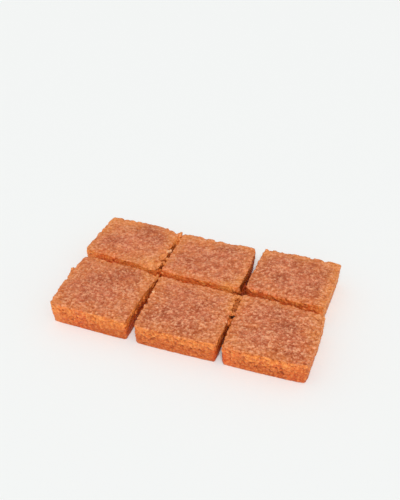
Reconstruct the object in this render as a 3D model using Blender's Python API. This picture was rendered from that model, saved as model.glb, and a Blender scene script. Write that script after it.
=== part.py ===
"""Basbousa, a syrup-soaked semolina cake: one slab cut into two rows of three squares.

The squares stay where the knife left them, so together they keep the slab's shape. Each is its own
solid, with an uneven, slightly crowned top, a crumbly rounded top edge, cut sides that lean in a
little towards the bottom, and a flat underside. Lengths are in millimetres up to the meshes, which
are in metres. X runs along the slab, Y from its front row to its back row, and Z up.
"""

import math
from collections import namedtuple

import bmesh
import bpy
from mathutils import Vector, noise

MM = 0.001

THICKNESS = 17.0
CROWN = 0.5  # how much higher a square's middle is than its sides
TOP_EDGE = 1.0  # how far the rounded top edge reaches in and down
BOTTOM_EDGE = 0.5
LEAN = 0.8  # how far a side has moved in by the time it reaches the bottom
SIDE_BULGE = 0.25  # how far the middle of a side's height stands out

TOP_SWELL, TOP_SWELL_SIZE = 0.45, 14.0  # height and width of the top's unevenness
TOP_LUMP, TOP_LUMP_SIZE = 0.25, 5.0
SIDE_WAVE, SIDE_WAVE_SIZE = 0.45, 6.0  # depth and width of the ripples along a cut side
CALM_BELOW = 4.0  # height under which the ripples fade out towards the underside

CELLS_ALONG, CELLS_ACROSS = 9, 8  # cells of the top between its rounded edges
SIDE_LEVELS = (0.80, 0.50, 0.22)  # heights of the rings of points on the sides
ROUNDING_REACH = 1.6  # a rounded corner is blended in over this many of its radii

# Where the four sides of a square run, each as its start, its middle and its end. The left and
# right sides are X positions from back to front, and the back and front sides are Y positions from
# left to right. The radii are those of the corners, back left first, then clockwise seen from above.
Square = namedtuple("Square", "name left right back front radii colour")

SQUARES = (
    Square(
        "square_back_left",
        left=(-86.0, -88.2, -89.3),
        right=(-31.6, -33.6, -34.3),
        back=(52.6, 53.2, 50.2),
        front=(10.6, 8.1, 6.4),
        radii=(2.0, 4.5, 3.0, 2.0),
        colour=(209, 127, 87),
    ),
    Square(
        "square_back_middle",
        left=(-28.9, -30.0, -30.6),
        right=(25.0, 26.0, 25.1),
        back=(49.8, 49.2, 49.4),
        front=(5.2, 3.9, 4.4),
        radii=(2.0, 2.5, 2.5, 2.0),
        colour=(203, 124, 88),
    ),
    Square(
        "square_back_right",
        left=(31.0, 30.0, 29.4),
        right=(85.2, 84.2, 83.0),
        back=(51.0, 51.2, 50.3),
        front=(6.0, 3.6, 2.9),
        radii=(2.0, 2.0, 2.0, 2.0),
        colour=(199, 121, 85),
    ),
    Square(
        "square_front_left",
        left=(-86.0, -87.6, -87.0),
        right=(-29.9, -32.2, -32.9),
        back=(3.2, 2.6, -0.2),
        front=(-48.8, -49.8, -50.6),
        radii=(2.0, 4.5, 2.5, 2.5),
        colour=(204, 122, 85),
    ),
    Square(
        "square_front_middle",
        left=(-28.2, -27.6, -27.5),
        right=(26.0, 27.0, 27.0),
        back=(-0.6, -1.4, -2.8),
        front=(-51.0, -51.4, -51.2),
        radii=(2.0, 2.5, 2.0, 2.5),
        colour=(203, 123, 87),
    ),
    Square(
        "square_front_right",
        left=(30.0, 30.4, 30.3),
        right=(85.3, 85.0, 84.4),
        back=(-0.6, -1.8, -4.6),
        front=(-51.4, -51.6, -51.2),
        radii=(2.5, 2.0, 2.5, 2.0),
        colour=(204, 123, 86),
    ),
)

CAKE_ROUGHNESS = 0.45


def bowed(side, t):
    """The value at t, from 0 to 1, on the even curve through a side's start, middle and end."""
    start, middle, end = side
    return start * (1 - t) * (1 - 2 * t) + middle * 4 * t * (1 - t) + end * t * (2 * t - 1)


def cell_lines(cells, width):
    """Positions from 0 to 1 of the grid's lines: close at the rounded edges, even in between."""
    edge = TOP_EDGE / width
    inner = [edge + (1 - 2 * edge) * i / cells for i in range(cells + 1)]
    return [0.0, 0.3 * edge, *inner, 1 - 0.3 * edge, 1.0]


def rounded(along, across, radius):
    """Where a point goes that lies this far from a corner's two sides, once the corner is round.

    A point on a side turns onto the corner's arc, and points further in follow it less and less.
    """
    near, far = min(along, across), max(along, across)
    reach = ROUNDING_REACH * radius
    share = (reach - near) / reach
    if share <= 0:
        return along, across
    on_side = reach - (reach - far) / share
    if on_side >= radius:
        return along, across
    turn = math.radians(45) * (1 - on_side / radius)
    shift_along = (radius - radius * math.sin(turn) - on_side) * share**2
    shift_in = (radius - radius * math.cos(turn)) * share**2
    if along >= across:
        return along + shift_along, across + shift_in
    return along + shift_in, across + shift_along


def outline_point(square, u, v):
    """The point of a square's top at u, from left to right, and v, from front to back."""
    left, right = bowed(square.left, 1 - v), bowed(square.right, 1 - v)
    front, back = bowed(square.front, u), bowed(square.back, u)
    width, depth = right - left, back - front
    from_left, from_front = u * width, v * depth
    back_left, back_right, front_right, front_left = square.radii
    if u < 0.5 and v < 0.5:
        from_left, from_front = rounded(from_left, from_front, front_left)
    elif u < 0.5:
        from_left, from_back = rounded(from_left, depth - from_front, back_left)
        from_front = depth - from_back
    elif v < 0.5:
        from_right, from_front = rounded(width - from_left, from_front, front_right)
        from_left = width - from_right
    else:
        from_right, from_back = rounded(width - from_left, depth - from_front, back_right)
        from_left, from_front = width - from_right, depth - from_back
    return Vector((left + from_left, front + from_front, 0))


def ripple(point):
    """How far a cut side stands out at a point: low ripples that fade out near the underside."""
    calm = min(1.0, max(0.0, point.z / CALM_BELOW))
    return SIDE_WAVE * noise.noise(point / SIDE_WAVE_SIZE) * calm


def top_height(point, u, v):
    """The height of the crumb's top over a point, without the rounding of its edge."""
    crown = CROWN * (1 - (2 * u - 1) ** 2) * (1 - (2 * v - 1) ** 2)
    swell = TOP_SWELL * noise.noise(point / TOP_SWELL_SIZE)
    lump = TOP_LUMP * noise.noise(point / TOP_LUMP_SIZE + Vector((7, 3, 1)))
    return THICKNESS - CROWN + crown + swell + lump


def edge_drop(from_side):
    """How far the rounded top edge has dropped at a distance from the side."""
    if from_side >= TOP_EDGE:
        return 0.0
    return TOP_EDGE - math.sqrt(TOP_EDGE**2 - (TOP_EDGE - from_side) ** 2)


def spread(square, point, z):
    """A point of the top's outline as it is at a height: the side bulges, then leans in."""
    down = 1 - z / THICKNESS
    out = SIDE_BULGE * math.sin(math.pi * down) - LEAN * down - (BOTTOM_EDGE if z == 0 else 0)
    moved = Vector((0, 0, z))
    for axis, (low, high) in enumerate(
        ((square.left[1], square.right[1]), (square.front[1], square.back[1]))
    ):
        middle, half = (low + high) / 2, (high - low) / 2
        moved[axis] = middle + (point[axis] - middle) * (1 + out / half)
    return moved


def square_mesh(square):
    """One square's closed mesh: a gridded top, rings of points down its sides, a flat underside."""
    width = square.right[1] - square.left[1]
    depth = square.back[1] - square.front[1]
    us, vs = cell_lines(CELLS_ALONG, width), cell_lines(CELLS_ACROSS, depth)
    last_u, last_v = len(us) - 1, len(vs) - 1
    bm = bmesh.new()

    def outward(i, j):
        """The horizontal direction that points out of the square at a point of its rim."""
        x = -1 if i == 0 else 1 if i == last_u else 0
        y = -1 if j == 0 else 1 if j == last_v else 0
        return Vector((x, y, 0)).normalized()

    def top_point(i, j):
        u, v = us[i], vs[j]
        point = outline_point(square, u, v)
        from_side = min(min(u, 1 - u) * width, min(v, 1 - v) * depth)
        point.z = top_height(point, u, v) - edge_drop(from_side)
        return point + outward(i, j) * ripple(point)

    def side_point(i, j, z):
        point = spread(square, outline_point(square, us[i], vs[j]), z)
        return point + outward(i, j) * ripple(point)

    def grid(point_at, keys, order):
        """Points at all of the grid's keys that aren't there yet, and the faces between them."""
        for i in range(last_u + 1):
            for j in range(last_v + 1):
                if (i, j) not in keys:
                    keys[i, j] = bm.verts.new(point_at(i, j))
        for i in range(last_u):
            for j in range(last_v):
                corners = [(i, j), (i + 1, j), (i + 1, j + 1), (i, j + 1)]
                bm.faces.new([keys[corner] for corner in corners[::order]])

    top = {}
    grid(top_point, top, 1)
    rim = [(i, 0) for i in range(last_u)] + [(last_u, j) for j in range(last_v)]
    rim += [(i, last_v) for i in range(last_u, 0, -1)] + [(0, j) for j in range(last_v, 0, -1)]
    ring = [top[key] for key in rim]
    for z in [level * THICKNESS for level in SIDE_LEVELS] + [BOTTOM_EDGE, 0.0]:
        lower = [bm.verts.new(side_point(i, j, z)) for i, j in rim]
        for k in range(len(rim)):
            after = (k + 1) % len(rim)
            bm.faces.new((ring[after], ring[k], lower[k], lower[after]))
        ring = lower
    grid(lambda i, j: side_point(i, j, 0.0), dict(zip(rim, ring)), -1)

    bmesh.ops.scale(bm, vec=(MM, MM, MM), verts=bm.verts)
    mesh = bpy.data.meshes.new(square.name)
    bm.to_mesh(mesh)
    bm.free()
    mesh.shade_smooth()
    mesh.set_sharp_from_angle(angle=math.radians(50))
    return mesh


def linear(level):
    """A colour level from 0 to 255 as the linear value that a shader takes."""
    share = level / 255
    return share / 12.92 if share <= 0.04045 else ((share + 0.055) / 1.055) ** 2.4


def cake_material(square):
    """The baked, syrup-soaked semolina of one square."""
    material = bpy.data.materials.new(square.name)
    material.use_nodes = True
    shader = material.node_tree.nodes["Principled BSDF"]
    shader.inputs["Base Color"].default_value = (*(linear(level) for level in square.colour), 1)
    shader.inputs["Roughness"].default_value = CAKE_ROUGHNESS
    shader.inputs["Metallic"].default_value = 0.0
    return material


def box_centre(meshes):
    """The middle, in X and Y, of the box round all the meshes."""
    points = [vertex.co for mesh in meshes for vertex in mesh.vertices]
    xs, ys = [point.x for point in points], [point.y for point in points]
    return Vector(((min(xs) + max(xs)) / 2, (min(ys) + max(ys)) / 2, 0))


def build():
    for thing in list(bpy.data.objects):
        bpy.data.objects.remove(thing, do_unlink=True)
    meshes = [square_mesh(square) for square in SQUARES]
    centre = box_centre(meshes)
    for square, mesh in zip(SQUARES, meshes):
        mesh.materials.append(cake_material(square))
        piece = bpy.data.objects.new(square.name, mesh)
        piece.location = -centre
        bpy.context.collection.objects.link(piece)


build()
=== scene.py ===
"""Basbousa: the looks of a slab of syrup-soaked semolina cake, cut into six squares.

The crumb of every square is modelled grain by grain, and the same fields of grains, clumps and pores
that shape it also colour it, so that each grain's tone sits on its own bump. Lengths are in
millimetres up to the meshes, which are in metres. Two numbers in brackets are a range, most often
from where something begins to where it is full.
"""

import math

import bmesh
import bpy
import numpy as np
from mathutils import Matrix, Vector
from mathutils.bvhtree import BVHTree


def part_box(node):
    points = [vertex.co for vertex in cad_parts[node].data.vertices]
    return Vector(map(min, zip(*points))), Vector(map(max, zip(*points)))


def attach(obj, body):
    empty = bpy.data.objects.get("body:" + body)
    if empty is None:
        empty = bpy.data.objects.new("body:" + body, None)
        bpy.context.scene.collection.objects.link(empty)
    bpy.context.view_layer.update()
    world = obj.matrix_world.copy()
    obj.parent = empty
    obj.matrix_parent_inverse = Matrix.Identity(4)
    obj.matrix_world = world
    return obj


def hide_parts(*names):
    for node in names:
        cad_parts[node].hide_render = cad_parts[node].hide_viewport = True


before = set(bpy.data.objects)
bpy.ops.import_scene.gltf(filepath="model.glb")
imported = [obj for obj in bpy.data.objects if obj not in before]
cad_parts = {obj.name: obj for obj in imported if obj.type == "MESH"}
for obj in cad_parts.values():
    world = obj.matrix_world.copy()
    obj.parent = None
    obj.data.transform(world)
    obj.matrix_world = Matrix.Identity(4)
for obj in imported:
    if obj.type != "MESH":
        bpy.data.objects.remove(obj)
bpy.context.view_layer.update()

MM = 0.001
SQUARES = sorted(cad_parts)
BAKE_MAP = "OFBake"  # the name of a piece's own map, which unfold makes
NOISE_MIDDLE = 0.5  # noise goes from 0 to 1

# The crumb's features, each from one of its kind to the next
GRAIN, FINE_GRAIN = 1.4, 0.8
KNOT, CLUMP, SWELL = 2.0, 2.7, 9.0
PORE, RIDGE = 2.6, 3.0
CHIP, CRUMBLY = 3.2, 12.0  # the chips, and the stretches of an edge that have them
WANDER, WANDER_SIZE = 0.5, 1.6  # how far, and over what distance, the grains' rows wander

# Their shapes
GRAIN_FALL = 1.7  # how soon a grain's round top falls away from its middle
LOWEST_GRAIN = 0.5  # how high the lowest grain stands, to the highest
FINE_SHARE = 0.8  # how high the fine grains stand, to the coarse ones
CLUMP_BALLS, CLUMP_LUMPS, LUMPS_LOW = 0.5, 0.9, 0.2  # clumps are part round balls, part uneven lumps
NO_PORE = 0.35  # the share of the spots without one
PORE_GROWTH = 0.85  # how soon a pore's radius grows with its chance, above that share
LEAST_PORE = 0.02  # a radius too small to show
PORE_WALL = (0.0, 0.6)  # from a pore's edge in to its full depth
CHIPPED = (0.4, 0.9)  # the chances at which a spot of an edge has lost its chip
CRUMBLY_STRETCH, FEWEST_CHIPS, MORE_CHIPS = (0.42, 0.58), 0.35, 0.85
RIDGE_WIDTH, RIDGED_PATCH = 0.07, (0.4, 0.6)

# How far they stand out of the smooth cake, or lie in it
GRAIN_RISE, KNOT_RISE, CLUMP_RISE, SWELL_RISE, RIDGE_RISE = 0.42, 0.9, 0.42, 0.25, 0.18
GRAIN_LEVEL = 0.6  # the part of the grains' height that lies on the smooth cake
SIDE_CLUMPS = 1.2  # how much more the clumps stand out on the cut sides
PORE_DEPTH, TOP_PORES = 1.0, 0.1  # how deep the pores are, and those on top to the sides'
HIGHEST_GRAIN = 0.4  # how far the highest grain stands above the solid
EDGE_FILL = 0.5  # how far an unbroken edge stands out of the solid's rounding
CHIP_DEPTH, CHIP_REACH = 1.3, 2.4  # how much is missing where an edge has crumbled
CUT_CHIPS = 0.5  # how much more an edge is chipped that faces the next square
COARSENESS, COARSER_RIGHT, FINER_BACK = 0.97, 0.0014, 0.0030  # and its change for each millimetre

# Where the parts of a square are
FACES_UP, TOP_DEPTH = (0.25, 0.75), (2.4, 4.0)
CUT_WIDTH = (5.0, 9.0)  # how far the next square is from a side that faces it, and from the others
CALM_FOOT = (0.0, 1.5)  # the height over which the relief comes in above the underside
STEEP = 0.6  # how far up or down a face may look and still be part of a side
LEDGE_DROP = 4.0  # how far below the top something that faces up is no longer part of the top

# The meshes
MESH_STEP = 0.32
UNDERSIDE = 0.1  # the height that is still the flat underside
FIN, FIN_ROUNDS = 0.24, 3  # how far a point stands out of its neighbours before it is drawn in
NET_CORNER = 0.3  # the size in the net's corners, to the rest of the net
CRUMB_OUT = (0.2, 0.7)  # how far from its square's solid a crumb begins
BREAK = 0.5  # how much has to be gone where an edge looks broken through

# Crumbs that still cling to the squares' sides, most of them in the cuts: each one's X, Y, Z and size
CLINGING = {
    "square_back_left": (
        (-29.8, 47.8, 14.5, 3.0), (-29.6, 44.0, 13.4, 3.4), (-29.9, 40.6, 11.8, 2.8),
        (-30.8, 48.9, 14.2, 3.0), (-29.8, 46.6, 11.0, 4.0),
        (-32.2, 24.9, 15.6, 2.8), (-32.0, 21.6, 15.0, 2.4), (-33.4, 18.1, 15.7, 3.0),
        (-33.0, 15.2, 15.4, 2.6), (-32.8, 11.8, 15.0, 3.4), (-33.0, 8.8, 14.4, 3.6),
        (-31.4, 6.6, 8.5, 3.6), (-31.0, 11.0, 7.0, 4.0), (-29.6, 3.6, 7.5, 4.0),
        (-31.2, 27.2, 12.4, 3.0), (-32.4, 20.0, 12.6, 3.2), (-32.0, 12.8, 13.6, 3.0),
        (-31.8, 23.8, 9.6, 3.6), (-31.8, 20.2, 9.6, 3.6), (-31.8, 16.4, 10.4, 3.6),
        (-31.6, 9.4, 11.0, 3.4),
    ),
    "square_back_middle": (
        (-27.6, 47.2, 14.6, 2.4), (-28.4, 45.8, 13.0, 3.4), (-28.6, 42.5, 12.0, 3.0),
        (-29.3, 18.6, 15.2, 2.4), (-30.2, 14.5, 14.4, 2.2), (24.3, 3.6, 13.5, 3.0),
        (26.4, 5.0, 13.2, 2.8), (26.6, 6.0, 9.8, 3.4),
        (28.6, 12.5, 4.8, 4.4), (28.3, 16.0, 4.8, 4.4), (28.2, 8.4, 4.4, 4.4),
    ),
    "square_front_left": (
        (-28.6, -1.5, 15.2, 3.0), (-28.9, -6.0, 15.0, 2.6), (-31.0, -22.1, 12.5, 2.8),
        (-31.1, -28.9, 12.5, 3.0), (-31.0, -35.9, 12.0, 2.6), (-86.8, -13.2, 16.2, 1.2),
        (-85.9, -12.4, 16.1, 1.3), (-86.2, -13.6, 16.0, 1.6), (-85.9, -14.8, 15.9, 1.6),
        (-85.6, -16.2, 15.9, 1.6), (-85.3, -17.8, 15.9, 1.6),
    ),
    "square_front_middle": (
        (27.2, -5.8, 15.3, 3.2), (26.6, -2.6, 12.5, 2.6), (28.4, -11.6, 15.6, 1.6),
        (28.8, -21.0, 15.3, 2.4), (28.6, -7.4, 11.5, 3.0),
        (26.8, -32.0, 15.4, 1.8), (27.0, -34.6, 14.8, 2.0), (26.9, -37.6, 15.2, 1.8),
        (26.8, -40.6, 14.6, 2.0), (26.8, -44.0, 15.0, 1.8), (28.8, -26.0, 11.0, 3.4),
    ),
    "square_front_right": (
        (30.8, -5.4, 15.2, 3.0), (29.3, -5.0, 11.6, 3.0), (29.7, -6.8, 12.5, 3.4),
        (29.7, -8.4, 12.4, 3.6), (29.7, -10.0, 12.3, 3.6), (29.8, -11.6, 12.2, 3.6),
        (29.8, -13.2, 12.0, 3.6), (29.8, -14.8, 11.9, 3.6), (29.8, -16.4, 11.9, 3.6),
        (29.8, -18.0, 12.4, 3.4), (30.6, -20.1, 15.2, 3.0),
        (29.8, -7.0, 8.0, 4.5), (30.0, -12.5, 8.0, 4.0), (30.2, -23.6, 11.0, 4.0),
    ),
}
# Paler crumbs on the edges, painted paler still as a highlight where the light catches them
PALE_CRUMBS = {
    "square_back_left": ((-31.2, 26.0, 15.9, 1.7), (-29.8, 27.2, 15.8, 1.5)),
    "square_front_middle": ((28.8, -30.4, 16.1, 1.8), (-24.3, -19.0, 16.8, 1.8)),
}
BALLS_PER_CRUMB = 4
BALL_SIZES = (0.45, 0.75)  # a crumb's other balls, to its first
BALL_SHIFT = 0.45  # how far they lie from its middle, to its size
BALL_STRETCH = (0.75, 1.2)

# Balls of crumb that have broken out of the squares' edges: each one's X, Y, Z and size
BROKEN = {
    "square_back_left": (
        (-37.0, 3.2, 21.4, 16.6), (-42.5, 2.4, 21.6, 15.6), (-32.4, 9.0, 21.0, 13.0),
        (-31.4, 19.0, 17.4, 7.0),
    ),
    "square_back_middle": ((18.5, 50.8, 18.4, 5.0), (10.5, 51.0, 18.6, 4.4)),
    "square_back_right": ((28.2, 1.4, 13.0, 11.0), (59.5, 52.2, 18.2, 4.6), (74.5, 52.4, 18.4, 4.8)),
}
# Painted shade: spots of the cuts that are painted darker, each one's X, Y, reach and strength
SHADED = (
    (31.0, 4.0, 3.6, 1.0), (29.0, 9.0, 5.0, 1.0), (28.6, 14.0, 5.0, 0.8), (28.2, 19.0, 5.0, 0.5),
    (27.6, 28.0, 8.0, 0.3), (27.6, 40.0, 10.0, 0.3), (-32.0, 34.0, 8.0, 0.3), (40.0, 3.5, 8.0, 0.25),
    (52.0, 3.0, 10.0, 0.2), (66.0, 2.5, 10.0, 0.2), (80.0, 2.0, 8.0, 0.2), (30.2, -8.0, 2.4, 0.4),
    (30.2, -12.0, 2.4, 0.5), (30.2, -16.0, 2.4, 0.55), (28.6, -38.0, 5.0, 0.5),
    (28.6, -46.0, 5.0, 0.5),
)

# Spots that browned more, and spots that are redder or more golden than the rest, the golden ones
# partly painted reflection of gold light on the outer edges: each one's X, Y, reach and strength
BROWNED = (
    (-55, 46, 8, 1.0), (-41, 38, 6, 0.8), (-74, 24, 8, 0.4), (7, 40, 7, 0.6), (-17, 18, 8, 0.5),
    (0, 28, 8, 0.3), (51, 22, 7, 0.6), (71, 18, 7, 0.6), (36, 15, 6, 0.5), (44, 32, 7, 0.4),
    (-49, -3, 9, 0.6), (-54, -13, 8, 0.6), (-66, -20, 7, 0.5), (-64, -37, 7, 0.5), (4, -49, 8, 0.8),
    (-10, -34, 9, 0.6), (8, -27, 7, 0.3), (68, -25, 7, 0.7), (79, -50, 8, 1.0), (46, -19, 7, 0.4),
    (17, 42, 8, 0.6), (18, 10, 8, 0.6), (0, 10, 6, 0.4), (34, 11, 8, 0.9), (35, 28, 8, 0.6),
    (57, 42, 8, 0.5), (78, 40, 7, 0.4), (-81, -42, 8, 0.7), (-21, -44, 8, 0.7), (56, -12, 8, 0.5),
)
REDDENED = (
    (34, 4, 6, 1.0), (43, 3, 6, 1.0), (52, 3, 5, 0.5), (76, 2, 8, 0.7), (-75, 10, 5, 0.9),
    (-66, 9, 5, 0.8), (-24, 4, 6, 0.7), (-8, 3, 9, 0.6), (8, 3, 8, 0.5), (-78, -49, 6, 0.5),
    (-64, -50, 6, 0.5), (36, -51, 6, 0.7), (80, -48, 7, 0.5), (-83, -44, 7, 0.7), (26, 3, 4, 0.6),
    (62, 4, 6, 0.5), (81, -39, 8, 0.6), (37, -17, 7, 0.6), (76, -25, 6, 0.3), (-58, 22, 7, 0.3),
)
# Golden tone, and painted reflection of gold light along the outer edges and right sides
GOLD_TONE_AND_REFLECTION = (
    (-84, 50, 10, 1.0), (-84, 36, 7, 0.6), (-35, 48, 7, 0.7), (-39, 11, 6, 1.0), (-50, 8, 6, 0.3),
    (-24, 48, 8, 0.7), (0, 49, 7, 0.6), (20, 48, 6, 0.5), (35, 50, 8, 0.8), (60, 51, 7, 0.8),
    (82, 49, 9, 1.0), (86, 5, 7, 1.0), (-84, -45, 8, 0.7), (-85, -20, 5, 0.5), (-32, -4, 6, 0.7),
    (36, -46, 8, 0.4), (85, -24, 6, 0.7), (84, -7, 7, 1.0), (26, -4, 5, 0.7), (20, 3, 6, 1.0),
    (86, 20, 6, 0.9), (86, 35, 6, 0.7), (86, -38, 6, 0.2), (-31, 43, 6, 0.9),
    (29, -10, 5, 1.0), (29, -17, 5, 1.0), (25, 9, 5, 0.9), (-87, 12, 5, 0.6), (-66, 48, 9, 0.7),
)

# Colours, as sRGB levels
# The crust's pale colour is partly the grains' own tone, partly painted highlight
CRUST_PALE_AND_HIGHLIGHT, CRUST_TOASTED, CRUST_ORANGE = (252, 184, 140), (166, 78, 40), (226, 136, 58)
CRUST_TAN, CRUST_ROSY = (218, 126, 72), (211, 119, 81)
# The dark crumb serves wet patches and the bottom of the sides, where it is partly painted shade
CRUMB_LIGHT, CRUMB, CRUMB_DARK = (255, 176, 98), (242, 136, 58), (184, 70, 6)
CRUMB_RED = (222, 96, 46)
REDDISH, GOLD = (228, 88, 40), (250, 164, 80)
# Painted shade with the syrup in the hollows, and painted shade in the pores
PIT, DEEP_PIT = (156, 60, 6), (124, 40, 0)
INSIDE, INSIDE_LIGHT = (228, 142, 76), (244, 172, 112)
CLINGING_TAN, CLINGING_BROWN = (236, 152, 84), (196, 104, 36)
# The pale crumbs' colour, with a painted highlight in it
PALE_CRUMB = (255, 196, 148)
# Painted shade: the colour deep in the cuts between squares, and the colour of the darker spots in them
CUT_SHADE, SHADE = (212, 72, 0), (126, 36, 0)
FLOOR_COLOUR = (240, 242, 241)


class Value:
    """A number or a vector that changes over a surface, with Python's own operators."""

    def __init__(self, nodes, socket):
        self.nodes, self.socket = nodes, socket

    def __add__(self, other):
        return self.nodes.maths("ADD", self, other)

    def __sub__(self, other):
        return self.nodes.maths("SUBTRACT", self, other)

    def __mul__(self, other):
        return self.nodes.maths("MULTIPLY", self, other)

    def __truediv__(self, other):
        return self.nodes.maths("DIVIDE", self, other)

    def __pow__(self, other):
        return self.nodes.maths("POWER", self, other)

    def __rsub__(self, other):
        return self.nodes.maths("SUBTRACT", other, self)

    __radd__ = __add__
    __rmul__ = __mul__

    def over(self, start, end):
        """0 where the value is at start, 1 where it is at end, and eased in between."""
        settings = {"interpolation_type": "SMOOTHSTEP"}
        inputs = {"Value": self, "From Min": start, "From Max": end}
        return self.nodes.add("ShaderNodeMapRange", settings, inputs)["Result"]

    def lifted(self, least):
        """A value that goes from 0 to 1, made to go from least to 1."""
        return least + (1 - least) * self


class Nodes:
    """A tree of shader or geometry nodes, to which nodes are added."""

    def __init__(self, tree):
        self.tree = tree

    def add(self, kind, settings=None, inputs=None):
        """Adds a node and returns its outputs as values, by name."""
        node = self.tree.nodes.new(kind)
        for name, setting in (settings or {}).items():
            setattr(node, name, setting)
        sockets = [socket for socket in node.inputs if socket.enabled]
        named = {socket.name: socket for socket in reversed(sockets)}
        for key, value in (inputs or {}).items():
            socket = sockets[key] if isinstance(key, int) else named[key]
            if isinstance(value, Value):
                self.tree.links.new(value.socket, socket)
            else:
                socket.default_value = value
        return {socket.name: Value(self, socket) for socket in node.outputs if socket.enabled}

    def maths(self, operation, *values):
        """A Math node's value, such as the larger of two."""
        inputs = dict(enumerate(values))
        return self.add("ShaderNodeMath", {"operation": operation}, inputs)["Value"]

    def vectors(self, operation, inputs):
        """A Vector Math node's vector."""
        return self.add("ShaderNodeVectorMath", {"operation": operation}, inputs)["Vector"]

    def mix(self, share, one, other):
        """One colour, turning into the other as share goes from 0 to 1."""
        inputs = {"Factor": share, "A": colour(one), "B": colour(other)}
        return self.add("ShaderNodeMix", {"data_type": "RGBA"}, inputs)["Result"]

    def noise(self, place, size, detail=2.0, roughness=0.5):
        """Cloudy noise from 0 to 1, whose features are about this size."""
        inputs = {"Vector": place, "Scale": 1 / size, "Detail": detail, "Roughness": roughness}
        return self.add("ShaderNodeTexNoise", {}, inputs)

    def cells(self, place, size):
        """Cells of about this size: the distance to each one's middle and a random colour for each."""
        return self.add("ShaderNodeTexVoronoi", {}, {"Vector": place, "Scale": 1 / size})

    def parts(self, vector):
        """A vector's X, Y and Z."""
        return self.add("ShaderNodeSeparateXYZ", {}, {"Vector": vector})


def linear(level):
    """A colour level from 0 to 255 as the linear value that a shader takes."""
    share = level / 255
    return share / 12.92 if share <= 0.04045 else ((share + 0.055) / 1.055) ** 2.4


def colour(levels):
    """A colour for a socket: a Value as it is, or sRGB levels made linear."""
    if isinstance(levels, Value):
        return levels
    return (*(linear(level) for level in levels), 1.0)


# The fields that shape and colour the crumb. Each takes the place on the smooth cake, so that the
# geometry and the material find the same grain in the same spot.


def wandering(nodes, place):
    """The place, shifted a little this way and that, so that no grain is round or in line."""
    drift = nodes.noise(place, WANDER_SIZE, detail=1.0)["Color"]
    centred = nodes.vectors("SUBTRACT", {0: drift, 1: (NOISE_MIDDLE,) * 3})
    moved = nodes.vectors("SCALE", {0: centred, "Scale": 2 * WANDER})
    return nodes.vectors("ADD", {0: place, 1: moved})


class Grains:
    """Grains packed side by side: how high the surface stands on them, 0 to 1, and their own tones."""

    def __init__(self, nodes, place, size):
        cells = nodes.cells(place, size)
        self.tones = nodes.parts(cells["Color"])
        distance = cells["Distance"]
        ball = nodes.maths("MAXIMUM", 1 - GRAIN_FALL * distance * distance, 0.0) ** 0.5
        self.height = ball * self.tones["X"].lifted(LOWEST_GRAIN)


def pores(nodes, place):
    """Round pores of different sizes, 1 at their middles, where the crumb has some."""
    cells = nodes.cells(place, PORE)
    chance = nodes.parts(cells["Color"])["Y"]
    radius = nodes.maths("MAXIMUM", (chance - NO_PORE) * PORE_GROWTH, LEAST_PORE)
    return nodes.maths("MAXIMUM", 1 - cells["Distance"] / radius, 0.0).over(*PORE_WALL)


def chips(nodes, place):
    """How much of an edge has crumbled away, spot by spot, and more along some stretches."""
    cells = nodes.cells(place, CHIP)
    chance = nodes.parts(cells["Color"])["Z"]
    crumbly = nodes.noise(place, CRUMBLY)["Fac"].over(*CRUMBLY_STRETCH)
    round_chip = 1 - cells["Distance"] * cells["Distance"]
    return chance.over(*CHIPPED) * round_chip * (FEWEST_CHIPS + MORE_CHIPS * crumbly)


def ridges(nodes, place):
    """Low winding ridges, 1 along their crests, in some places only."""
    bends = nodes.noise(place, RIDGE, detail=1.0)["Fac"]
    crest = 1 - nodes.maths("ABSOLUTE", bends - NOISE_MIDDLE) / RIDGE_WIDTH
    patches = nodes.noise(place, 2 * RIDGE)["Fac"].over(*RIDGED_PATCH)
    return nodes.maths("MAXIMUM", crest, 0.0) * patches


def coarseness(nodes, place):
    """How strongly the grain shows: more towards the slab's front right, where it is coarser."""
    spot = nodes.parts(place)
    return COARSENESS + COARSER_RIGHT * spot["X"] - FINER_BACK * spot["Y"]


class Crumb:
    """Every field of the crumb at a place, in one tree of nodes."""

    def __init__(self, nodes, place, facing, to_side, to_top, to_next):
        self.nodes = nodes
        moved = wandering(nodes, place)
        self.coarse = Grains(nodes, moved, GRAIN)
        self.fine = Grains(nodes, moved, FINE_GRAIN)
        self.grains = nodes.maths("MAXIMUM", self.coarse.height, FINE_SHARE * self.fine.height)
        self.knots = nodes.noise(moved, KNOT, detail=4.0, roughness=0.62)["Fac"]
        balls, lumps = Grains(nodes, moved, CLUMP).height, nodes.noise(moved, CLUMP)["Fac"]
        self.clumps = CLUMP_BALLS * balls + CLUMP_LUMPS * (lumps - LUMPS_LOW)
        self.swell = nodes.noise(place, SWELL)["Fac"]
        self.ridges = ridges(nodes, moved)
        self.pores = pores(nodes, moved)
        self.chips = chips(nodes, moved) * (1 + CUT_CHIPS * (1 - to_next.over(*CUT_WIDTH)))
        up = nodes.parts(facing)["Z"]
        self.top = up.over(*FACES_UP) * (1 - to_top.over(*TOP_DEPTH))
        self.edge = 4 * up * up * (1 - up * up)  # 1 where the surface lies at 45 degrees
        self.near_side = 1 - to_side.over(0.0, CHIP_REACH)
        self.coarseness = coarseness(nodes, place)

    def relief(self):
        """How far the crumb stands out of the smooth cake, in millimetres."""
        side = 1 - self.top
        rise = GRAIN_RISE * (self.grains - GRAIN_LEVEL) + KNOT_RISE * (self.knots - NOISE_MIDDLE)
        rise = rise + CLUMP_RISE * (1 + SIDE_CLUMPS * side) * (self.clumps - NOISE_MIDDLE)
        rise = rise + RIDGE_RISE * self.ridges
        rise = rise * self.coarseness + SWELL_RISE * 2 * (self.swell - NOISE_MIDDLE)
        pits = PORE_DEPTH * self.pores * side.lifted(TOP_PORES)
        edge = self.nodes.maths("MAXIMUM", self.edge, self.near_side * self.top)
        return rise - pits + EDGE_FILL * self.edge - CHIP_DEPTH * edge * self.chips


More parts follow.
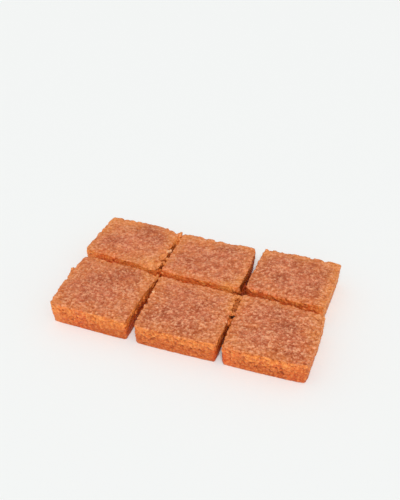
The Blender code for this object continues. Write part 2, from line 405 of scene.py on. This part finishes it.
def relief_tree():
    """Geometry nodes that push every point of a smooth square out or in by the crumb's relief."""
    tree = bpy.data.node_groups.new("crumb_relief", "GeometryNodeTree")
    tree.interface.new_socket("Geometry", in_out="INPUT", socket_type="NodeSocketGeometry")
    tree.interface.new_socket("Geometry", in_out="OUTPUT", socket_type="NodeSocketGeometry")
    nodes = Nodes(tree)

    def stored(name, kind="FLOAT"):
        settings = {"data_type": kind}
        return nodes.add("GeometryNodeInputNamedAttribute", settings, {"Name": name})["Attribute"]

    place, facing = stored("place", "FLOAT_VECTOR"), stored("facing", "FLOAT_VECTOR")
    crumb = Crumb(nodes, place, facing, stored("to_side"), stored("to_top"), stored("to_next"))
    above_foot = nodes.parts(place)["Z"].over(*CALM_FOOT)
    step = nodes.vectors("SCALE", {0: facing, "Scale": crumb.relief() * above_foot * MM})
    start = nodes.add("NodeGroupInput")["Geometry"]
    moved = nodes.add("GeometryNodeSetPosition", {}, {"Geometry": start, "Offset": step})["Geometry"]
    nodes.add("NodeGroupOutput", {}, {"Geometry": moved})
    return tree


MOTTLE, HUE = 3.6, 9.0  # from one patch of their kind to the next


class Surface:
    """What a material finds at a place: the crumb, the marks kept on the mesh, and broad tints."""

    def __init__(self, nodes):
        def stored(name, output="Fac"):
            return nodes.add("ShaderNodeAttribute", {"attribute_name": name})[output]

        self.place, facing = stored("place", "Vector"), stored("facing", "Vector")
        self.to_side, self.to_top, self.to_next = stored("to_side"), stored("to_top"), stored("to_next")
        self.browned, self.shaded = stored("browned"), stored("shaded")
        self.reddened, self.gold_and_reflection = stored("reddened"), stored("gold_and_reflection")
        self.broken, self.clinging, self.pale_and_lit = stored("broken"), stored("clinging"), stored("pale_and_lit")
        self.crumb = Crumb(nodes, self.place, facing, self.to_side, self.to_top, self.to_next)
        self.mottle = nodes.noise(self.place, MOTTLE, detail=4.0, roughness=0.65)["Fac"]
        self.hue = nodes.parts(nodes.noise(self.place, HUE, detail=3.0)["Color"])["Y"]


# The crust on top: what turns its colour, and how far
ROSY, ROSY_INWARD, ROSY_BROWNED = (0.42, 0.85), 0.012, 0.15
PATCH, TOASTED, TOASTED_PATCH, TOASTED_BROWNED = 9.0, (0.66, 1.2), 0.6, 0.36
TOAST_INWARD, EDGE_TOAST = (0.5, 5.0), 0.4
ORANGE_INWARD, ORANGE_MOTTLE, ORANGE_TOP = (0.0, 9.0), (0.3, 0.6), 0.35
RED_TOP, GOLD_TOP = 0.3, 0.45
FLECKS_INWARD, EDGE_FLECKS = (0.0, 5.0), 0.7
PALE_KNOTS, PALE_KNOT_SHARE = (0.46, 0.7), 0.64
PALE_GRAINS, PALE_TONES, PALE_GRAIN_SHARE = (0.3, 0.9), (0.5, 1.0), 0.5
PALE_RIDGE_SHARE = 0.25


def crust_colour(nodes, here):
    """Tan and rosy, toasted in patches and orange near the edges, with paler grains on it that are
    partly painted highlights.
    """
    crumb, coarse = here.crumb, here.crumb.coarse
    rosy = (here.hue + ROSY_INWARD * here.to_side + ROSY_BROWNED * here.browned).over(*ROSY)
    top = nodes.mix(rosy, CRUST_TAN, CRUST_ROSY)
    patch = nodes.noise(here.place, PATCH)["Fac"]
    toast = (here.mottle + TOASTED_PATCH * patch + TOASTED_BROWNED * here.browned).over(*TOASTED)
    inward = here.to_side.over(*TOAST_INWARD).lifted(EDGE_TOAST)
    top = nodes.mix(toast * inward, top, CRUST_TOASTED)
    orange = (1 - here.to_side.over(*ORANGE_INWARD)) * here.mottle.over(*ORANGE_MOTTLE)
    top = nodes.mix(orange * ORANGE_TOP, top, CRUST_ORANGE)
    top = nodes.mix(here.reddened * RED_TOP, top, REDDISH)
    # Golden spots: golden tone, and painted reflection of gold light
    top = nodes.mix(here.gold_and_reflection * GOLD_TOP, top, GOLD)
    # Paler grains, knots and ridge crests: partly the grains' own tone, partly painted highlights on
    # the wet grains
    flecked = crumb.coarseness * here.to_side.over(*FLECKS_INWARD).lifted(EDGE_FLECKS)
    top = nodes.mix(crumb.knots.over(*PALE_KNOTS) * PALE_KNOT_SHARE * flecked, top, CRUST_PALE_AND_HIGHLIGHT)
    pale = coarse.height.over(*PALE_GRAINS) * coarse.tones["Y"].over(*PALE_TONES)
    top = nodes.mix(pale * PALE_GRAIN_SHARE * flecked, top, CRUST_PALE_AND_HIGHLIGHT)
    return nodes.mix(crumb.ridges * PALE_RIDGE_SHARE, top, CRUST_PALE_AND_HIGHLIGHT)


# The cut sides: what turns their colour, and how far
WET_PATCH, WET_PATCHES, WET_SHARE = 5.0, (0.35, 0.7), 0.5
SOAKED_AND_SHADED_DEPTH, SOAKED_AND_SHADED_SHARE = (1.0, 13.0), 0.75
RED_HUES, RED_HUE_SHARE = (0.5, 0.66), 0.6
RED_SIDE, GOLD_SIDE = 0.8, 0.6
LIGHT_KNOTS, LIGHT_KNOT_SHARE, LIGHT_GRAIN_SHARE = (0.44, 0.7), 0.6, 0.3
LIGHT_LOST = 0.6  # how much of the light grains' paleness is gone where the crumb is soaked and painted darker towards the bottom
CRUST_LINE, CRUST_LINE_MOTTLE, CRUST_LINE_SHARE = (0.8, 2.8), 1.5, 0.7


def cut_colour(nodes, here):
    """Wet orange crumb, darker towards the bottom with more soaked crumb and painted shade, with
    lighter grains and the crust's thin line.
    """
    crumb, coarse = here.crumb, here.crumb.coarse
    wet = nodes.noise(here.place, WET_PATCH, detail=3.0)["Fac"].over(*WET_PATCHES) * WET_SHARE
    # Darker towards the bottom: the more soaked crumb, together with painted shade
    soaked_and_shaded = here.to_top.over(*SOAKED_AND_SHADED_DEPTH) * SOAKED_AND_SHADED_SHARE
    side = nodes.mix(here.hue.over(*RED_HUES) * RED_HUE_SHARE, CRUMB, CRUMB_RED)
    side = nodes.mix(nodes.maths("MAXIMUM", wet, soaked_and_shaded), side, CRUMB_DARK)
    side = nodes.mix(here.reddened * RED_SIDE, side, REDDISH)
    # Golden spots: golden tone, and painted reflection of gold light
    side = nodes.mix(here.gold_and_reflection * GOLD_SIDE, side, GOLD)
    knots = crumb.knots.over(*LIGHT_KNOTS) * LIGHT_KNOT_SHARE
    light = knots + coarse.height.over(*PALE_GRAINS) * coarse.tones["Y"] * LIGHT_GRAIN_SHARE
    side = nodes.mix(light * (1 - LIGHT_LOST * soaked_and_shaded), side, CRUMB_LIGHT)
    crust_line = 1 - (here.to_top + CRUST_LINE_MOTTLE * here.mottle).over(*CRUST_LINE)
    return nodes.mix(crust_line * CRUST_LINE_SHARE, side, CRUST_ORANGE)


# What lies over both: broken edges, clinging crumbs, hollows with painted shade and syrup in them, and
# painted shade in the cuts
INSIDE_GRAINS, BROKEN_DEPTH, BROKEN_SHARE = (0.2, 0.8), (4.0, 8.0), 0.6
CLINGING_TONES, CLINGING_DEPTH, CLINGING_SHARE = (1.5, 4.0), (4.0, 7.0), 0.6
HOLLOW_GRAINS, HOLLOW_CLUMPS, HOLLOW_KNOTS, HOLLOW = 0.5, 0.6, 1.2, (0.5, 1.45)
SIDE_PITS, MORE_TOP_PITS = 0.6, 0.3
SIDE_PORES_DARK, LESS_TOP_PORES_DARK = 0.5, 0.4
# Painted shade deep in the cuts: how near the next square, how deep, and how far it goes
CUT_SHADE_WIDTH, CUT_SHADE_DEPTH, CUT_SHADE_SHARE = (4.5, 9.0), (3.5, 9.0), 0.6
SHADE_DEPTH, SHADE_SHARE = (1.2, 3.5), 0.9
PALE_AND_LIT_SHARE = 0.8


def cake_colour(nodes, here):
    """The colour of a square: crust, cut sides, broken and clinging crumb, and painted shade in
    hollows, pores and cuts, with syrup in the hollows.
    """
    crumb, coarse = here.crumb, here.crumb.coarse
    base = nodes.mix(crumb.top, cut_colour(nodes, here), crust_colour(nodes, here))
    inside_light = coarse.height.over(*INSIDE_GRAINS) * coarse.tones["Y"]
    broken = here.broken * BROKEN_SHARE * (1 - here.to_top.over(*BROKEN_DEPTH))
    base = nodes.mix(broken, base, nodes.mix(inside_light, INSIDE, INSIDE_LIGHT))
    crumbs = nodes.mix(here.to_top.over(*CLINGING_TONES), CLINGING_TAN, CLINGING_BROWN)
    clinging = here.clinging * CLINGING_SHARE * (1 - here.to_top.over(*CLINGING_DEPTH))
    base = nodes.mix(clinging, base, crumbs)
    # Painted shade in the hollows between grains and clumps, together with the syrup that gathers there
    standing = HOLLOW_GRAINS * crumb.grains + HOLLOW_CLUMPS * crumb.clumps
    hollow = 1 - (standing + HOLLOW_KNOTS * crumb.knots).over(*HOLLOW)
    pits = hollow * (SIDE_PITS + MORE_TOP_PITS * crumb.top) * crumb.coarseness
    base = nodes.mix(pits, base, nodes.mix(crumb.top, DEEP_PIT, PIT))
    # Painted shade in the pores
    dark_pores = crumb.pores * (SIDE_PORES_DARK - LESS_TOP_PORES_DARK * crumb.top)
    base = nodes.mix(dark_pores, base, DEEP_PIT)
    # Painted shade deep in the cuts, where the next square is near
    in_cut = (1 - here.to_next.over(*CUT_SHADE_WIDTH)) * here.to_top.over(*CUT_SHADE_DEPTH)
    base = nodes.mix(in_cut * CUT_SHADE_SHARE, base, CUT_SHADE)
    # Painted shade on the darker spots of the cuts
    base = nodes.mix(here.shaded * SHADE_SHARE * here.to_top.over(*SHADE_DEPTH), base, SHADE)
    # Paler crumbs, with a painted highlight where the light catches them
    return nodes.mix(here.pale_and_lit * PALE_AND_LIT_SHARE, base, PALE_CRUMB)


# The syrup's gloss, and the skin that is finer than the mesh
SYRUP, SYRUPY, DRY_ROUGHNESS, SYRUP_GLOSS = 2.2, (0.4, 0.65), 0.58, 0.26
SKIN, SKIN_RISE, FINE_GRAIN_RISE, SKIN_STRENGTH = 0.4, 0.3, 0.35, 0.45
LIGHT_DEPTH, LIGHT_REACHES, LIGHT_SHARE = 0.8, (1.0, 0.35, 0.15), 0.1  # light in the moist crumb
SHINE = 0.3


def cake_material(name):
    """Browned crust on top and wet orange crumb on the cut sides, grain by grain."""
    material = bpy.data.materials.new(name)
    material.use_nodes = True
    tree = material.node_tree
    tree.nodes.clear()
    nodes = Nodes(tree)
    here = Surface(nodes)
    syrup = nodes.noise(here.place, SYRUP)["Fac"].over(*SYRUPY)
    skin = nodes.noise(here.place, SKIN, detail=3.0, roughness=0.6)["Fac"]
    height = SKIN_RISE * skin + FINE_GRAIN_RISE * here.crumb.fine.height
    bump = {"Strength": SKIN_STRENGTH, "Distance": MM, "Height": height}
    finish = {
        "Base Color": cake_colour(nodes, here),
        "Roughness": DRY_ROUGHNESS - SYRUP_GLOSS * syrup,
        "Normal": nodes.add("ShaderNodeBump", {}, bump)["Normal"],
        "Subsurface Weight": LIGHT_SHARE,
        "Subsurface Radius": LIGHT_REACHES,
        "Subsurface Scale": LIGHT_DEPTH * MM,
        "Specular IOR Level": SHINE,
    }
    shader = nodes.add("ShaderNodeBsdfPrincipled", {}, finish)
    nodes.add("ShaderNodeOutputMaterial", {}, {"Surface": shader["BSDF"]})
    return material


def evaluated_mesh(thing):
    """The mesh that an object's modifiers make."""
    graph = bpy.context.evaluated_depsgraph_get()
    graph.update()
    return bpy.data.meshes.new_from_object(thing.evaluated_get(graph), depsgraph=graph)


def read(items, name, width, kind=np.float32):
    """What a mesh says of all its points, faces, corners or edges, a row of numbers for each."""
    values = np.empty(len(items) * width, dtype=kind)
    items.foreach_get(name, values)
    return values.reshape(-1, width)


def put_points(mesh, points):
    """Puts the mesh's points in new places."""
    mesh.vertices.foreach_set("co", points.ravel())
    mesh.update()


def store(mesh, name, values):
    """Keeps a number or a vector for each of the mesh's points, for the nodes to read."""
    values = np.ascontiguousarray(values, dtype=np.float32)
    kind, field = ("FLOAT_VECTOR", "vector") if values.ndim == 2 else ("FLOAT", "value")
    mesh.attributes.new(name, kind, "POINT").data.foreach_set(field, values.ravel())


def spotted(places, spots):
    """How strongly each place is marked by the spot that marks it most, 0 to 1."""
    most = np.zeros(len(places))
    for x, y, reach, strength in spots:
        away = np.hypot(places[:, 0] - x, places[:, 1] - y)
        most = np.maximum(most, strength * np.exp(-((away / reach) ** 2)))
    return most


def surface_of(node, walls_only=False):
    """A square's solid, or only its cut sides, to measure distances to."""
    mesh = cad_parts[node].data
    faces = [face for face in mesh.polygons if not walls_only or abs(face.normal.z) < STEEP]
    return BVHTree.FromPolygons([v.co for v in mesh.vertices], [list(f.vertices) for f in faces])


def distances(points, surface):
    """How far each point is from a surface, in millimetres."""
    return np.array([surface.find_nearest(Vector(point))[3] for point in points]) / MM


def on_crumbs(places, crumbs, out):
    """1 on a crumb that stands out of its square's solid, 0 on the square itself."""
    share = np.zeros(len(places))
    for x, y, z, size in crumbs:
        near = np.linalg.norm(places - (x, y, z), axis=1) < size
        share[near] = np.maximum(share[near], np.interp(out[near], CRUMB_OUT, (0.0, 1.0)))
    return share


def break_off(points, balls):
    """Pushes the points inside the balls out to their surface: how far each moved, in millimetres."""
    moved = np.zeros(len(points))
    for x, y, z, size in balls:
        middle, radius = np.array((x, y, z)) * MM, size / 2 * MM
        away = points - middle
        far = np.linalg.norm(away, axis=1)
        inside = far < radius
        points[inside] = middle + away[inside] * (radius / far[inside])[:, None]
        moved[inside] += (radius - far[inside]) / MM
    return moved


def add_crumb(bm, rng, x, y, z, size):
    """A crumb of a few uneven balls pressed together, on its square's mesh."""
    for ball in range(BALLS_PER_CRUMB):
        radius = size / 2 * (1.0 if ball == 0 else rng.uniform(*BALL_SIZES))
        shift = rng.uniform(-1, 1, 3) * (0.0 if ball == 0 else BALL_SHIFT * size)
        spot = Matrix.Translation((Vector((x, y, z)) + Vector(shift)) * MM)
        turn = Matrix.Rotation(rng.uniform(0, math.pi), 4, Vector(rng.uniform(-1, 1, 3)))
        stretch = Matrix.Diagonal((*rng.uniform(*BALL_STRETCH, 3), 1.0))
        placed = spot @ turn @ stretch
        bmesh.ops.create_icosphere(bm, subdivisions=2, radius=radius * MM, matrix=placed)


def even_mesh(node, crumbs):
    """A square's solid and its crumbs as one skin of small even cells."""
    bm = bmesh.new()
    bm.from_mesh(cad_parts[node].data)
    rng = np.random.default_rng(len(crumbs))
    for x, y, z, size in crumbs:
        add_crumb(bm, rng, x, y, z, size)
    joined = bpy.data.meshes.new("joined")
    bm.to_mesh(joined)
    bm.free()
    piece = bpy.data.objects.new("even", joined)
    bpy.context.collection.objects.link(piece)
    even = piece.modifiers.new("even cells", "REMESH")
    even.mode, even.voxel_size = "VOXEL", MESH_STEP * MM
    mesh = evaluated_mesh(piece)
    bpy.data.objects.remove(piece)
    return mesh


def flatten_underside(mesh):
    """Turns the flat underside into one face."""
    bm = bmesh.new()
    bm.from_mesh(mesh)
    low = min(vertex.co.z for vertex in bm.verts)
    under = [face for face in bm.faces if max(v.co.z for v in face.verts) < low + UNDERSIDE * MM]
    bmesh.ops.delete(bm, geom=under, context="FACES")
    rim = [edge for edge in bm.edges if edge.is_boundary]
    underside = bmesh.ops.holes_fill(bm, edges=rim, sides=0)["faces"]
    for face in bm.faces:
        face.smooth = True
    for face in underside:
        face.smooth = False
    bm.to_mesh(mesh)
    bm.free()


def unfold(mesh, points, low, high):
    """Opens the square out flat into the bake's map, as a box's net with the top in the middle.

    The grain then lies beside its neighbours on the map too, round all the top's edges. The
    underside and what faces up far below the top go into corners of the net, and are smaller there.
    """
    corners = read(mesh.polygons, "loop_total", 1, np.int32)[:, 0]
    facing = np.repeat(read(mesh.polygons, "normal", 3), corners, axis=0)
    place = points[read(mesh.loops, "vertex_index", 1, np.int32)[:, 0]]
    spots = place[:, :2] + 0
    steep = np.abs(facing[:, 2]) < STEEP
    across_x = np.abs(facing[:, 0]) > np.abs(facing[:, 1])
    drop = high[2] - place[:, 2]
    for axis, chosen in ((0, steep & across_x), (1, steep & ~across_x)):
        spots[chosen, axis] += (np.sign(facing[:, axis]) * drop)[chosen]
    height = high[2] - low[2]
    net_low = np.array(low[:2]) - height
    net_size = np.array(high[:2]) + height - net_low
    under = facing[:, 2] < -STEEP
    spots[under] = net_low + (spots[under] - low[:2]) * NET_CORNER
    ledge = (facing[:, 2] > STEEP) & (drop > LEDGE_DROP * MM)
    spots[ledge] = (spots[ledge] - low[:2]) * NET_CORNER + (net_low[0], high[1])
    layer = mesh.uv_layers.new(name=BAKE_MAP)
    layer.uv.foreach_set("vector", ((spots - net_low) / net_size).astype(np.float32).ravel())


def draw_in_fins(mesh, points):
    """Draws in the points that stand out of their neighbours, so that no thin fins are left."""
    ends = read(mesh.edges, "vertices", 2, np.int32)
    ends = np.concatenate((ends, ends[:, ::-1]))
    neighbours = np.bincount(ends[:, 0], minlength=len(points))
    for _ in range(FIN_ROUNDS):
        sums = [np.bincount(ends[:, 0], points[ends[:, 1], axis], len(points)) for axis in range(3)]
        middle = np.stack(sums, axis=1) / neighbours[:, None]
        fins = np.linalg.norm(points - middle, axis=1) > FIN * MM
        points[fins] = middle[fins]


def smooth_square(node, low, high):
    """A square's fine mesh before its relief, which keeps on its points all that the nodes read."""
    clinging, pale = CLINGING.get(node, ()), PALE_CRUMBS.get(node, ())
    mesh = even_mesh(node, clinging + pale)
    flatten_underside(mesh)
    points = read(mesh.vertices, "co", 3)
    moved = break_off(points, BROKEN.get(node, ()))
    put_points(mesh, points)
    others = [surface_of(other) for other in SQUARES if other != node]
    out = distances(points, surface_of(node))
    store(mesh, "place", points / MM)
    store(mesh, "facing", read(mesh.vertex_normals, "vector", 3))
    store(mesh, "to_side", distances(points, surface_of(node, walls_only=True)))
    store(mesh, "to_next", np.min([distances(points, other) for other in others], axis=0))
    store(mesh, "to_top", (high[2] - points[:, 2]) / MM)
    marks = {"browned": BROWNED, "reddened": REDDENED, "gold_and_reflection": GOLD_TONE_AND_REFLECTION, "shaded": SHADED}
    for name, spots in marks.items():
        store(mesh, name, spotted(points / MM, spots))
    store(mesh, "broken", np.clip(moved / BREAK, 0.0, 1.0))
    store(mesh, "clinging", on_crumbs(points / MM, clinging, out))
    store(mesh, "pale_and_lit", on_crumbs(points / MM, pale, out))
    unfold(mesh, points, low, high)
    return mesh


def grainy_square(node, tree, material):
    """A square's looks: the solid's own shape, with its crumb standing out in real relief."""
    low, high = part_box(node)
    piece = bpy.data.objects.new(f"{node}_crumb", smooth_square(node, low, high))
    bpy.context.collection.objects.link(piece)
    piece.modifiers.new("crumb", "NODES").node_group = tree
    finished = evaluated_mesh(piece)
    piece.modifiers.clear()
    piece.data = finished
    finished.name = piece.name
    finished.materials.clear()
    finished.materials.append(material)
    points = read(finished.vertices, "co", 3)
    draw_in_fins(finished, points)
    points[:, 2] = np.clip(points[:, 2], low[2], high[2] + HIGHEST_GRAIN * MM)
    put_points(finished, points)
    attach(piece, "root")
    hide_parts(node)


# The camera's place, aim and lens are the photograph's, in the slab's own frame.
CAMERA_AZIMUTH, CAMERA_ELEVATION, CAMERA_ROLL = 18.794, 37.635, -0.2373
CAMERA_AIM = (-7.20, 25.10, 23.76)
CAMERA_DISTANCE = 521.33
CAMERA_LENS, CAMERA_SENSOR = 54.43, 36.0  # the sensor's side is the picture's long one
CAMERA_CLIP = (0.01, 10.0)


def camera():
    """The camera, turned to the slab as in the photograph."""
    a, e, r = (math.radians(angle) for angle in (CAMERA_AZIMUTH, CAMERA_ELEVATION, CAMERA_ROLL))
    back = Vector((math.sin(a) * math.cos(e), -math.cos(a) * math.cos(e), math.sin(e)))
    right = (-back).cross(Vector((0, 0, 1))).normalized()
    up = back.cross(right)
    turned_right = math.cos(r) * right + math.sin(r) * up
    turned_up = math.cos(r) * up - math.sin(r) * right
    data = bpy.data.cameras.new("camera")
    data.lens, data.sensor_width = CAMERA_LENS, CAMERA_SENSOR
    data.clip_start, data.clip_end = CAMERA_CLIP
    thing = bpy.data.objects.new("camera", data)
    turn = Matrix((turned_right, turned_up, back)).transposed().to_4x4()
    place = (Vector(CAMERA_AIM) + back * CAMERA_DISTANCE) * MM
    thing.matrix_world = Matrix.Translation(place) @ turn
    bpy.context.collection.objects.link(thing)
    bpy.context.scene.camera = thing


# The light and the floor
KEY_FROM = (0.15, -0.50, 0.65)
KEY_STRENGTH, KEY_WIDTH = 2.17, 22.0
SKY_STRENGTH, SKY_COLOUR = 0.5, (1.0, 1.0, 1.0, 1.0)
FLOOR_REACH = 6.0  # in metres
FLOOR_ROUGHNESS = 0.9


def key_light():
    """One large soft light, from the front, a little to the right, and well above."""
    data = bpy.data.lights.new("key", "SUN")
    data.energy, data.angle = KEY_STRENGTH, math.radians(KEY_WIDTH)
    thing = bpy.data.objects.new("key", data)
    thing.rotation_euler = Vector(KEY_FROM).to_track_quat("Z", "Y").to_euler()
    bpy.context.collection.objects.link(thing)


def sky_light():
    """Even white light from all round."""
    world = bpy.data.worlds.new("soft light")
    bpy.context.scene.world = world
    world.use_nodes = True
    background = world.node_tree.nodes["Background"]
    background.inputs["Color"].default_value = SKY_COLOUR
    background.inputs["Strength"].default_value = SKY_STRENGTH


def pale_floor():
    """The plain floor that the slab stands on."""
    mesh = bpy.data.meshes.new("floor")
    signs = ((-1, -1), (1, -1), (1, 1), (-1, 1))
    corners = [(x * FLOOR_REACH, y * FLOOR_REACH, 0) for x, y in signs]
    mesh.from_pydata(corners, [], [(0, 1, 2, 3)])
    floor = bpy.data.objects.new("floor", mesh)
    bpy.context.collection.objects.link(floor)
    material = bpy.data.materials.new("floor")
    material.use_nodes = True
    shader = material.node_tree.nodes["Principled BSDF"]
    shader.inputs["Base Color"].default_value = colour(FLOOR_COLOUR)
    shader.inputs["Roughness"].default_value = FLOOR_ROUGHNESS
    mesh.materials.append(material)


camera()
bpy.context.scene.view_settings.view_transform = "Standard"
sky_light()
key_light()
pale_floor()
crumb_tree = relief_tree()
for square in SQUARES:
    grainy_square(square, crumb_tree, cake_material(square))
